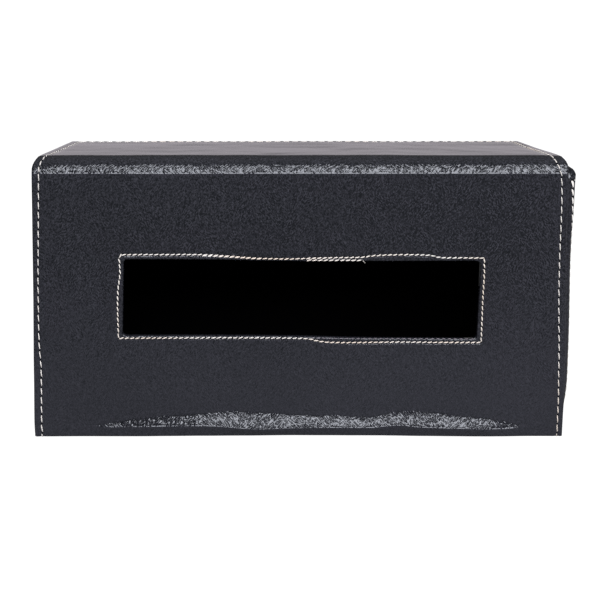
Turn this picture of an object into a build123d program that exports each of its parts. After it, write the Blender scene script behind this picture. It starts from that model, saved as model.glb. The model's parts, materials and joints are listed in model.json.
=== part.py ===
from build123d import *
import os

# Tissue box holder in leatherette over stiff card, standing on a long side as it is shown:
# X runs from the closed left end to the mouth, Y from the slot face to the base, Z up.
# Lengths are in millimetres and angles in degrees.

# Outer size of the box
length = 250.0
depth = 105.0
height = 134.0

# Sheets that make up every wall, from the outside in
leather = 1.2
card = 2.0
lining = 0.8
plate = leather + card
wall = plate + lining

# Bends and turned edges
fold_radius = 8.0  # soft fold between the top and the front
foot_radius = 1.2  # lower front edge, where the leather is turned under
hem_radius = 1.0  # outer corner of a turned edge
hem_width = 8.0  # leather turned in over the inner face at the mouth
foot_clearance = 0.4  # the front wall and the flap stay this much off the table

# Slot for the tissues, in the middle of the front wall
slot_length = 167.0
slot_height = 36.0
slot_corner = 2.0
slot_lip_radius = 0.6
facing_thickness = 1.0
facing_width = 9.0

# Closed end, set in between the walls
end_recess = 1.0
end_gap = 0.2

# Flap that closes the mouth, set in between the walls
flap_gap = 1.5
flap_hem = 6.0
flap_corner = 6.0
flap_edge_radius = 1.1
flap_rest_angle = 2.4  # how far it stands open at rest
hinge_gap = 0.3

# Leather strip that the flap turns on
strip_thickness = 0.8
strip_leg = 14.0
strip_side_gap = 4.0
strip_bend_radius = 1.0
glue_gap = 0.05

# Batten behind the flap's free edge, with a bar magnet in it
rail_size = 6.0
rail_side_gap = 6.0
rail_gap = 0.3
magnet_length = 40.0
magnet_height = 4.0
magnet_thickness = 3.0
magnet_drop = 3.2  # centre of the magnet below the top wall
keeper_height = 4.0
keeper_thickness = 1.0
keeper_edge = 0.3  # card left between the keeper and the flap's top edge

# Places that follow from the sizes
left = -length / 2
right = length / 2
rear = depth - plate  # front face of the base wall, where the other walls end
ceiling = height - wall
inner_rear = depth - wall
flap_thickness = wall
flap_inner = right - flap_thickness
bottom_end = flap_inner - hinge_gap
pivot_radius = flap_thickness / 2
pivot_x = right - pivot_radius
pivot_z = foot_clearance + pivot_radius
slot_level = height / 2


def block(x, y, z):
    """Box between pairs of limits along X, Y and Z."""
    size = [high - low for low, high in (x, y, z)]
    middle = [(low + high) / 2 for low, high in (x, y, z)]
    return Pos(*middle) * Box(*size)


def bent_sheet(inset, thickness, ends, back, foot):
    """Sheet over the top and down the front, `inset` below the outer surface, bent at the fold."""
    outer = inset
    inner = inset + thickness
    outline = make_face(
        Polyline(
            (outer, foot),
            (outer, height - outer),
            (back, height - outer),
            (back, height - inner),
            (inner, height - inner),
            (inner, foot),
            close=True,
        )
    )
    outline = fillet(outline.vertices().sort_by_distance((outer, height - outer))[0], fold_radius - outer)
    outline = fillet(outline.vertices().sort_by_distance((inner, height - inner))[0], fold_radius - inner)
    sheet = extrude(Plane.YZ * outline, ends[1] - ends[0])
    return Pos(ends[0], 0, 0) * sheet


def slot_block(margin, y):
    """Slot enlarged by `margin` on every side, from y[0] to y[1]."""
    outline = RectangleRounded(
        slot_length + 2 * margin, slot_height + 2 * margin, slot_corner + margin
    )
    column = extrude(Plane.XZ * outline, y[0] - y[1])
    return Pos(0, y[0], slot_level) * column


def outer_edges(solid, axis, place):
    """Edges of a solid that lie in the plane at `place` along an axis."""
    return solid.edges().filter_by_position(axis, place - 0.01, place + 0.01)


# Top and front walls in one piece of leather, its edges turned round the card
wall_foot = foot_clearance
core_ends = (left + leather, right - leather)
core_back = rear - leather
core_foot = wall_foot + leather
shell = bent_sheet(0, wall, (left, right), rear, wall_foot)
shell -= slot_block(0, (-1, wall + 1))
shell = fillet(
    shell.edges().filter_by(Axis.X).sort_by_distance((0, 0, wall_foot))[0], foot_radius
)
shell = fillet(outer_edges(shell, Axis.X, left), hem_radius)
shell = fillet(outer_edges(shell, Axis.X, right), hem_radius)
slot_rim = [
    edge
    for edge in outer_edges(shell, Axis.Y, 0)
    if abs(edge.center().X) < slot_length / 2 + 1
    and abs(edge.center().Z - slot_level) < slot_height / 2 + 1
]
shell = fillet(slot_rim, slot_lip_radius)

card_sheet = bent_sheet(leather, card, core_ends, core_back, core_foot)
card_sheet -= slot_block(leather, (-1, wall + 1))
below_fold = block((left, right), (0, fold_radius), (0, height - fold_radius))
behind_fold = block((left, right), (fold_radius, depth), (height - fold_radius, height))
front_board = card_sheet & below_fold
top_board = card_sheet & behind_fold
fold_strip = card_sheet & block((left, right), (0, fold_radius), (height - fold_radius, height))

lining_ends = (left + leather, right - hem_width)
wall_lining = bent_sheet(plate, lining, lining_ends, core_back, core_foot)
wall_lining -= slot_block(leather, (-1, wall + 1))
outer_wrap = shell - card_sheet - wall_lining

# Frame of leather behind the slot, over the lining
facing_limits = [
    (-slot_length / 2 - facing_width, slot_length / 2 + facing_width),
    (wall, wall + facing_thickness),
    (slot_level - slot_height / 2 - facing_width, slot_level + slot_height / 2 + facing_width),
]
slot_facing = block(*facing_limits)
slot_facing = fillet(slot_facing.edges().filter_by(Axis.Y), slot_corner)
slot_facing -= slot_block(0, (wall - 1, wall + facing_thickness + 1))

# Bottom wall: a covered plate behind the front wall, its leather turned round both ends
bottom_shell = block((left, bottom_end), (wall, rear), (0, plate))
bottom_shell = fillet(
    bottom_shell.edges().filter_by(Axis.Y).group_by(Axis.Z)[0], hem_radius
)
bottom_board = block((left + leather, bottom_end - leather), (wall, rear), (leather, plate))
bottom_cover = bottom_shell - bottom_board
bottom_lining = block((left, bottom_end), (wall, rear), (plate, wall))

# Base wall: a covered plate over the rear of all the others, with a hem turned in at the mouth
base_shell = block((left, right), (rear, depth), (0, height))
base_shell = fillet(base_shell.edges().group_by(Axis.Y)[-1], hem_radius)
base_board = block(
    (left + leather, right - leather), (rear, depth - leather), (leather, height - leather)
)
base_hem = block((right - hem_width, right - hem_radius), (inner_rear, rear), (wall, ceiling))
base_cover = base_shell - base_board + base_hem
base_lining = block((left + end_recess, right - hem_width), (inner_rear, rear), (wall, ceiling))

# Closed left end: a covered plate and its lining, standing inside the other walls
end_outer = left + end_recess
end_inner = end_outer + plate
end_y = (wall + end_gap, inner_rear - end_gap)
end_z = (wall + end_gap, ceiling - end_gap)


def end_plate(x, margin):
    """Plate in the closed end's outline, smaller by `margin`, with the corner that clears the fold."""
    y = (end_y[0] + margin, end_y[1] - margin)
    z = (end_z[0] + margin, end_z[1] - margin)
    panel = block(x, y, z)
    corner = panel.edges().filter_by(Axis.X).sort_by_distance((x[0], y[0], z[1]))[0]
    return fillet(corner, fold_radius - wall)


end_shell = end_plate((end_outer, end_inner), 0)
end_shell = fillet(outer_edges(end_shell, Axis.X, end_outer), hem_radius)
left_end_board = end_plate((end_outer + leather, end_inner), leather)
left_end_cover = end_shell - left_end_board
left_end_lining = end_plate((end_inner, end_inner + lining), 0)

# Flap in its closed place. Its foot is a half round about the pivot, so it turns in its seat.
flap_y = (wall + flap_gap, inner_rear - flap_gap)
flap_top = ceiling - flap_gap


def flap_plate(x, margin, foot):
    """Plate in the flap's outline, smaller by `margin`, with its two upper corners rounded."""
    panel = block(x, (flap_y[0] + margin, flap_y[1] - margin), (foot, flap_top - margin))
    corners = panel.edges().filter_by(Axis.X).group_by(Axis.Z)[-1]
    return fillet(corners, max(flap_corner - margin, hem_radius))


flap_shell = flap_plate((flap_inner, right), 0, pivot_z)
flap_foot = Pos(pivot_x, (flap_y[0] + flap_y[1]) / 2, pivot_z) * Rot(90, 0, 0) * Cylinder(
    pivot_radius, flap_y[1] - flap_y[0]
)
flap_shell = fillet(
    [edge for edge in outer_edges(flap_shell, Axis.X, right) if edge.center().Z > pivot_z + 1],
    flap_edge_radius,
)
flap_shell += flap_foot
flap_board = flap_plate((flap_inner + lining, right - leather), leather, foot_clearance + leather)
flap_lining = flap_plate((flap_inner, flap_inner + lining), flap_hem, pivot_z + flap_hem)
keeper_top = flap_top - leather - keeper_edge
keeper_y = (depth / 2 - magnet_length / 2, depth / 2 + magnet_length / 2)
flap_keeper = block(
    (flap_inner + lining, flap_inner + lining + keeper_thickness),
    keeper_y,
    (keeper_top - keeper_height, keeper_top),
)
flap_cover = flap_shell - flap_board - flap_lining
flap_board -= flap_keeper

# Batten under the top wall, which the closed flap rests against, and its magnet
rail_x = (flap_inner - rail_gap - rail_size, flap_inner - rail_gap)
stop_rail = block(
    rail_x, (wall + rail_side_gap, inner_rear - rail_side_gap), (ceiling - rail_size, ceiling)
)
stop_rail = fillet(stop_rail.edges().filter_by(Axis.Y).group_by(Axis.Z)[0], hem_radius)
magnet_level = ceiling - magnet_drop
rail_magnet = block(
    (rail_x[1] - magnet_thickness, rail_x[1]),
    keeper_y,
    (magnet_level - magnet_height / 2, magnet_level + magnet_height / 2),
)
stop_rail -= rail_magnet

# Leather strip along the foot of the flap: one leg on the bottom wall, one up the flap's inner face
turn = Rot(0, flap_rest_angle, 0)
hinge = Pos(pivot_x, 0, pivot_z)
flap_up = Vector(0, 0, 1).rotate(Axis.Y, flap_rest_angle)
flap_out = Vector(1, 0, 0).rotate(Axis.Y, flap_rest_angle)


def leaning_point(offset, rise):
    """Point `offset` inside the flap's inner face and `rise` up the flap from the pivot."""
    start = Vector(pivot_x, 0, pivot_z) - flap_out * (pivot_radius + offset)
    return start + flap_up * rise


def leaning_corner(offset, level):
    """Where the line `offset` inside the flap's inner face crosses a level."""
    start = leaning_point(offset, 0)
    rise = (level - start.Z) / flap_up.Z
    return leaning_point(offset, rise)


strip_low = wall
strip_high = wall + strip_thickness
strip_back = bottom_end - strip_leg
strip_near = leaning_corner(glue_gap, strip_low)
strip_far = leaning_corner(glue_gap + strip_thickness, strip_high)
strip_top = leaning_point(glue_gap, strip_leg)
strip_inner_top = leaning_point(glue_gap + strip_thickness, strip_leg)
strip_outline = make_face(
    Polyline(
        (strip_back, strip_low),
        (strip_near.X, strip_near.Z),
        (strip_top.X, strip_top.Z),
        (strip_inner_top.X, strip_inner_top.Z),
        (strip_far.X, strip_far.Z),
        (strip_back, strip_high),
        close=True,
    )
)
strip_outline = fillet(
    strip_outline.vertices().sort_by_distance((strip_near.X, strip_near.Z))[0],
    strip_bend_radius + strip_thickness,
)
strip_outline = fillet(
    strip_outline.vertices().sort_by_distance((strip_far.X, strip_far.Z))[0], strip_bend_radius
)
strip_y = (flap_y[0] + strip_side_gap, flap_y[1] - strip_side_gap)
hinge_strip = Pos(0, strip_y[1], 0) * extrude(Plane.XZ * strip_outline, strip_y[1] - strip_y[0])

# The flap as it stands at rest
flap_pieces = {
    "flap_cover": flap_cover,
    "flap_board": flap_board,
    "flap_lining": flap_lining,
    "flap_keeper": flap_keeper,
}
flap_pieces = {name: hinge * turn * hinge.inverse() * piece for name, piece in flap_pieces.items()}

body_pieces = {
    "outer_wrap": outer_wrap,
    "top_board": top_board,
    "front_board": front_board,
    "fold_strip": fold_strip,
    "wall_lining": wall_lining,
    "slot_facing": slot_facing,
    "bottom_cover": bottom_cover,
    "bottom_board": bottom_board,
    "bottom_lining": bottom_lining,
    "base_cover": base_cover,
    "base_board": base_board,
    "base_lining": base_lining,
    "left_end_cover": left_end_cover,
    "left_end_board": left_end_board,
    "left_end_lining": left_end_lining,
    "stop_rail": stop_rail,
    "rail_magnet": rail_magnet,
    "hinge_strip": hinge_strip,
}

# The origin is on the table, under the middle of the whole object with the flap as it stands
flap_reach = flap_pieces["flap_cover"].bounding_box().max.X
origin = Pos(-(left + flap_reach) / 2, -depth / 2, 0)

os.makedirs("parts", exist_ok=True)
for name, piece in {**body_pieces, **flap_pieces}.items():
    export_step(origin * piece, f"parts/{name}.step")

print("outer box", round(flap_reach - left, 3), depth, height)
print("shift of the body along X", round(origin.position.X, 4))
hinge_point = (origin * hinge).position
print("hinge axis along Y through", round(hinge_point.X, 4), round(hinge_point.Z, 4))
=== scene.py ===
# Tissue box holder in black leatherette with cream stitching, on one long side with its slot to the front
import json
import math

import bmesh
import bpy
from mathutils import Matrix, Vector, kdtree, noise


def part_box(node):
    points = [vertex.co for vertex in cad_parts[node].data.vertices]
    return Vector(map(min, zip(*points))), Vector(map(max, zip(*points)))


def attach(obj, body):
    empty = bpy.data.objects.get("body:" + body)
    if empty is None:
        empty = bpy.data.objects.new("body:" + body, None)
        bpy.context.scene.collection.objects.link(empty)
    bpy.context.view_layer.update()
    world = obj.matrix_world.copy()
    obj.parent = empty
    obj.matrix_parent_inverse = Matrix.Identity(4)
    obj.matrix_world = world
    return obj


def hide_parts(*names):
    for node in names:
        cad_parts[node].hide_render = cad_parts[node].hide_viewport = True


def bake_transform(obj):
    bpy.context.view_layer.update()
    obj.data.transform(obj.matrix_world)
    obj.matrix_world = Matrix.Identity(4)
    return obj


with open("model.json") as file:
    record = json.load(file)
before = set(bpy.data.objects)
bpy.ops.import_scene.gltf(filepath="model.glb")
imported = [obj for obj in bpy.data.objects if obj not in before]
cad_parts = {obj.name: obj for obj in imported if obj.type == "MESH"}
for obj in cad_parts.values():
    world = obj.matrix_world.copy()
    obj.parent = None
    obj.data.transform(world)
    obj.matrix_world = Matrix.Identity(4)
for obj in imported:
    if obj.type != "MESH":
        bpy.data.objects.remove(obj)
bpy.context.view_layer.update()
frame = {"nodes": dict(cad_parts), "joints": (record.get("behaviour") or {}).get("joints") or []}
mm = 0.001  # pieces and camera are in millimetres, and the floor and lamps in metres
noise.seed_set(7)  # so that stitches and linings vary in the same way each time
print("frame loaded")


def nodeBox(node):  # lowest and highest corner of a CAD node, in millimetres
    low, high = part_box(node)
    return low / mm, high / mm


def newObject(name, data):
    made = bpy.data.objects.new(name, data)
    bpy.context.scene.collection.objects.link(made)
    return made


# Camera

cameraView = {
    "place": (-17.2, -537.8, 171.8),
    "lookDown": 6.99,  # degrees
    "lookRight": 0.13,
    "lens": 63.0,
    "sensor": 36.0,
    "shift": (0.048, -0.16),
}


def makeCamera():
    data = bpy.data.cameras.new("camera")
    data.lens = cameraView["lens"]
    data.sensor_width = cameraView["sensor"]
    data.shift_x, data.shift_y = cameraView["shift"]
    camera = newObject("camera", data)
    camera.location = Vector(cameraView["place"]) * mm
    tilt = math.radians(90 - cameraView["lookDown"])
    camera.rotation_euler = (tilt, 0, -math.radians(cameraView["lookRight"]))
    bpy.context.scene.camera = camera


# Shader maths: a wire is a node's output, and sums of wires add Math nodes


class Wire:
    def __init__(self, maker, socket):
        self.maker = maker
        self.socket = socket

    def math(self, operation, first, second):
        return self.maker.add("Math", {"operation": operation}, {0: first, 1: second})

    def __add__(self, other):
        return self.math("ADD", self, other)

    def __radd__(self, other):
        return self.math("ADD", other, self)

    def __sub__(self, other):
        return self.math("SUBTRACT", self, other)

    def __rsub__(self, other):
        return self.math("SUBTRACT", other, self)

    def __mul__(self, other):
        return self.math("MULTIPLY", self, other)

    def __rmul__(self, other):
        return self.math("MULTIPLY", other, self)


class NodeMaker:
    def __init__(self, tree):
        self.tree = tree
        self.tree.nodes.clear()

    def add(self, kind, settings, sockets, output=0):
        node = self.tree.nodes.new("ShaderNode" + kind)
        for name, value in settings.items():
            if name == "stops":
                ramp = node.color_ramp.elements
                ramp[0].position, ramp[1].position = value[0][0], value[-1][0]
                ramp[0].color, ramp[1].color = grey(value[0][1]), grey(value[-1][1])
                for position, level in value[1:-1]:
                    ramp.new(position).color = grey(level)
            else:
                setattr(node, name, value)
        for name, value in sockets.items():
            if isinstance(value, Wire):
                self.tree.links.new(value.socket, node.inputs[name])
            else:
                node.inputs[name].default_value = value
        return Wire(self, node.outputs[output]) if node.outputs else None

    def mixColours(self, factor, first, second):
        settings = {"data_type": "RGBA"}
        return self.add("Mix", settings, {0: factor, 6: colour(first), 7: colour(second)}, 2)

    def finish(self, shader, kind="Material"):
        self.add("Output" + kind, {}, {"Surface": shader})


def grey(level):  # a ramp's level may also be a tint
    return (*level, 1.0) if isinstance(level, tuple) else (level, level, level, 1.0)


def colour(value):
    return value if isinstance(value, Wire) else (*value, 1.0)


def newMaterial(name):
    material = bpy.data.materials.new(name)
    material.use_nodes = True
    return material, NodeMaker(material.node_tree)


# Leatherette: strokes along two slants that take turns in patches, with a relief that opens on bends, and
# painted shade higher up and in the creases

leatherLook = {
    "dark": (0.0015, 0.0020, 0.0032),
    "light": (0.0262, 0.0264, 0.0345),
    "middle": 0.55,  # plain leather between dark and light
    "mottle": 2.9,
    "calm": [(0.020, 0.45), (0.085, 1.0)],  # share of the mottle and of the painted shade by height in metres; the painted shade darkens the leather higher up
    # painted shade: the leather's colour is darker higher up the front
    "paintedHeightShade": 0.35,
    # painted shade in the creases, only where the relief opens on bends
    "paintedCreaseShade": 0.4,
    "clouds": 14.0,  # per metre
    "cloudShade": 0.3,
    "roughness": 0.11,
    "specular": 0.60,
    "tint": (0.88, 0.91, 1.0),
    "pebble": 1.00,  # mm across
    "pebbleStretch": 0.28,
    "creaseWidth": 0.38,  # half its width, as a share of the pebble
    "creaseDepth": 0.27,  # mm
    "streak": 0.45,  # mm across
    "streakStretch": 0.45,
    "streakRelief": 0.14,  # mm
    "slant": 30.0,  # degrees that a stroke is turned
    "depthStretch": 0.35,  # the strokes run on over the bends
    "patch": 17.0,  # mm
    "patchStops": [(0.42, 0.0), (0.58, 1.0)],  # from one slant to the other
    # share of the relief by how far the leather faces up
    "bends": [(0.0, 0.04), (0.10, 0.10), (0.21, 1.0), (0.60, 1.0), (0.76, 0.32), (0.90, 0.015)],
}


def slantedGrain(maker, place, slant):  # creases between pebbles, and fine streaks, along one slant
    look = leatherLook
    turn = math.radians(slant)
    turned = []  # the pattern turned, and then stretched
    for stretch in (look["pebbleStretch"], look["streakStretch"]):
        scale = (1, 1 / look["depthStretch"], 1 / stretch)
        sockets = {"Vector": place, "Rotation": (0, turn, -turn), "Scale": scale}
        turned.append(maker.add("Mapping", {"vector_type": "TEXTURE"}, sockets))
    sockets = {"Vector": turned[0], "Scale": 1 / (look["pebble"] * mm)}
    edges = maker.add("TexVoronoi", {"feature": "DISTANCE_TO_EDGE"}, sockets)
    reach = {"Value": edges, "From Max": look["creaseWidth"], "To Min": 1.0, "To Max": 0.0}
    creases = maker.add("MapRange", {"interpolation_type": "SMOOTHSTEP"}, reach)
    sockets = {"Vector": turned[1], "Scale": 1 / (look["streak"] * mm), "Detail": 1.0}
    return creases, maker.add("TexNoise", {}, sockets)


def makeLeather(name, grainShare=1.0):
    look = leatherLook
    material, maker = newMaterial(name)
    place = maker.add("TexCoord", {}, {}, "Object")
    normal = maker.add("TexCoord", {}, {}, "Normal")
    height = maker.add("SeparateXYZ", {}, {"Vector": place}, "Z")
    upward = maker.add("SeparateXYZ", {}, {"Vector": normal}, "Z")
    bend = maker.add("ValToRGB", {"stops": look["bends"]}, {"Fac": upward})
    (low, lowShare), (high, highShare) = look["calm"]
    reach = {"Value": height, "From Min": low, "From Max": high, "To Min": lowShare, "To Max": highShare}
    calm = maker.add("MapRange", {}, reach)
    patches = maker.add("TexNoise", {}, {"Vector": place, "Scale": 1 / (look["patch"] * mm), "Detail": 1.0})
    turning = maker.add("ValToRGB", {"stops": look["patchStops"]}, {"Fac": patches})
    leftCreases, leftStreaks = slantedGrain(maker, place, look["slant"])
    rightCreases, rightStreaks = slantedGrain(maker, place, -look["slant"])
    creases = leftCreases * (1 - turning) + rightCreases * turning
    streaks = leftStreaks * (1 - turning) + rightStreaks * turning
    clouds = maker.add("TexNoise", {}, {"Vector": place, "Scale": look["clouds"], "Detail": 3.0})
    relief = (streaks * look["streakRelief"] - creases * look["creaseDepth"]) * bend * grainShare
    bump = maker.add("Bump", {}, {"Strength": 1.0, "Distance": mm, "Height": relief})
    shade = (streaks - 0.5) * calm * look["mottle"] + clouds * look["cloudShade"] + look["middle"]
    # painted shade: darker higher up the box, and darker in the creases where the relief opens on bends
    shade = shade - calm * look["paintedHeightShade"] - creases * bend * look["paintedCreaseShade"]
    sockets = {
        "Base Color": maker.mixColours(shade, look["dark"], look["light"]),
        "Roughness": look["roughness"],
        "Specular IOR Level": look["specular"],
        "Specular Tint": colour(look["tint"]),
        "Normal": bump,
    }
    maker.finish(maker.add("BsdfPrincipled", {}, sockets))
    return material


# Thread, and painted shade at the needle holes

threadLook = {
    "cream": (0.58, 0.555, 0.54),
    "peach": (0.58, 0.49, 0.42),
    "grey": (0.15, 0.135, 0.16),
    # painted shade: the colour of the dark dots at the needle holes
    "hole": (0.002, 0.002, 0.002),
    "runs": 22.0,  # changes of colour per metre
    "runStops": [(0.45, 0.0), (0.68, 0.8)],
    "fibres": 5200.0,  # per metre
    "fibreRelief": 0.08,  # mm
    "roughness": 0.7,
    "specular": 0.3,
}


def makeThread():
    look = threadLook
    material, maker = newMaterial("creamThread")
    place = maker.add("TexCoord", {}, {}, "Object")
    runs = maker.add("TexNoise", {}, {"Vector": place, "Scale": look["runs"], "Detail": 1.0})
    fibres = maker.add("TexNoise", {}, {"Vector": place, "Scale": look["fibres"], "Detail": 2.0})
    warmth = maker.add("ValToRGB", {"stops": look["runStops"]}, {"Fac": runs})
    bump = maker.add("Bump", {}, {"Strength": 0.6, "Distance": look["fibreRelief"] * mm, "Height": fibres})
    sockets = {
        "Base Color": maker.mixColours(warmth, look["cream"], look["peach"]),
        "Roughness": look["roughness"] + fibres * 0.2,
        "Normal": bump,
        "Specular IOR Level": look["specular"],
    }
    maker.finish(maker.add("BsdfPrincipled", {}, sockets))
    return material


# Plain finishes, with a fine grain between two colours

roughnessSpread = 0.2


def makeFlat(name, first, second, grainScale, roughness, relief=0.05, metallic=0.0, specular=0.5):
    material, maker = newMaterial(name)
    place = maker.add("TexCoord", {}, {}, "Object")
    grain = maker.add("TexNoise", {}, {"Vector": place, "Scale": grainScale, "Detail": 4.0})
    bump = maker.add("Bump", {}, {"Strength": 0.5, "Distance": relief * mm, "Height": grain})
    sockets = {
        "Base Color": maker.mixColours(grain, first, second),
        "Roughness": roughness - roughnessSpread / 2 + grain * roughnessSpread,
        "Metallic": metallic,
        "Specular IOR Level": specular,
        "Normal": bump,
    }
    maker.finish(maker.add("BsdfPrincipled", {}, sockets))
    return material


leather = makeLeather("blackLeatherette")
flapLeather = makeLeather("flapLeatherette", grainShare=0.08)
thread = makeThread()
greyThread = makeFlat("greyThread", threadLook["grey"], threadLook["grey"], 900.0, 0.8, specular=0.3)
# painted shade for the needle holes
hole = makeFlat("needleHole", threadLook["hole"], threadLook["hole"], 900.0, 0.9, specular=0.0)
# black lining, and painted shade: its black is made darker than any cloth, for the shade inside the box
flockAndShadeColours = (0.0004, 0.0004, 0.0006), (0.0012, 0.0011, 0.0016)
flockAndShade = makeFlat("blackFlockAndShade", *flockAndShadeColours, 2400.0, 0.95, relief=0.12, specular=0.03)
board = makeFlat("blackCard", (0.008, 0.008, 0.009), (0.016, 0.016, 0.018), 900.0, 0.85)
wood = makeFlat("paintedBatten", (0.010, 0.010, 0.011), (0.020, 0.019, 0.021), 420.0, 0.55)
nickel = makeFlat("nickelMagnet", (0.56, 0.55, 0.53), (0.66, 0.65, 0.63), 300.0, 0.3, 0.01, metallic=1.0)
steel = makeFlat("plainSteel", (0.40, 0.40, 0.41), (0.52, 0.52, 0.53), 500.0, 0.4, 0.01, metallic=1.0)
print("materials made")


# Making pieces

sharpAngle = math.radians(38)  # edges sharper than this stay crisp


def makePiece(name, bm, material, body="box", nodes=()):
    mesh = bpy.data.meshes.new(name)
    for face in bm.faces:
        face.smooth = True
    for edge in bm.edges:
        edge.smooth = edge.is_boundary or edge.calc_face_angle(0) < sharpAngle
    bm.to_mesh(mesh)
    bm.free()
    mesh.materials.append(material)
    piece = newObject(name, mesh)
    if body:
        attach(piece, body)
    if nodes:
        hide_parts(*nodes)
    return piece


def evenLines(start, end, coarse, zones):  # line places from start to end, closer together in the zones
    stops = {start, end}
    for low, high, _ in zones:
        stops.update(stop for stop in (low, high) if start < stop < end)
    stops = sorted(stops)
    lines = [start]
    for low, high in zip(stops, stops[1:]):
        middle = (low + high) / 2
        steps = [zone[2] for zone in zones if zone[0] < middle < zone[1]]
        count = math.ceil((high - low) / min(steps + [coarse]) - 0.001)
        lines += [low + (high - low) * (index + 1) / count for index in range(count)]
    return lines


def through(points, at):  # smooth curve through (place, value) points
    if at <= points[0][0]:
        return points[0][1]
    if at >= points[-1][0]:
        return points[-1][1]
    index = max(i for i in range(len(points) - 1) if points[i][0] <= at)
    (x0, y0), (x1, y1) = points[index], points[index + 1]
    before = points[max(index - 1, 0)]
    after = points[min(index + 2, len(points) - 1)]
    share = (at - x0) / (x1 - x0)
    slope0 = (y1 - before[1]) / (x1 - before[0]) * (x1 - x0)
    slope1 = (after[1] - y0) / (after[0] - x0) * (x1 - x0)
    cubic = share**3
    square = share**2
    start = (2 * cubic - 3 * square + 1) * y0 + (cubic - 2 * square + share) * slope0
    return start + (3 * square - 2 * cubic) * y1 + (cubic - square) * slope1


def ease(value):  # 0 to 1 with level ends
    value = min(max(value, 0.0), 1.0)
    return value * value * (3 - 2 * value)


def smoothRun(points, step=0.5):  # points along a smooth curve through given ones
    points = [Vector(point) for point in points]
    run = []
    for index in range(len(points) - 1):
        p1, p2 = points[index], points[index + 1]
        p0 = points[index - 1] if index else p1
        p3 = points[index + 2] if index + 2 < len(points) else p2
        count = max(1, round((p2 - p1).length / step))
        for number in range(count):
            t = number / count
            run.append(
                0.5 * (2 * p1 + (p2 - p0) * t + (2 * p0 - 5 * p1 + 4 * p2 - p3) * t * t
                       + (3 * p1 - p0 - 3 * p2 + p3) * t**3)
            )
    run.append(points[-1])
    return run


# Outer wrap: one sheet of leather from under the front, up, over the fold and back across the top

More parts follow.
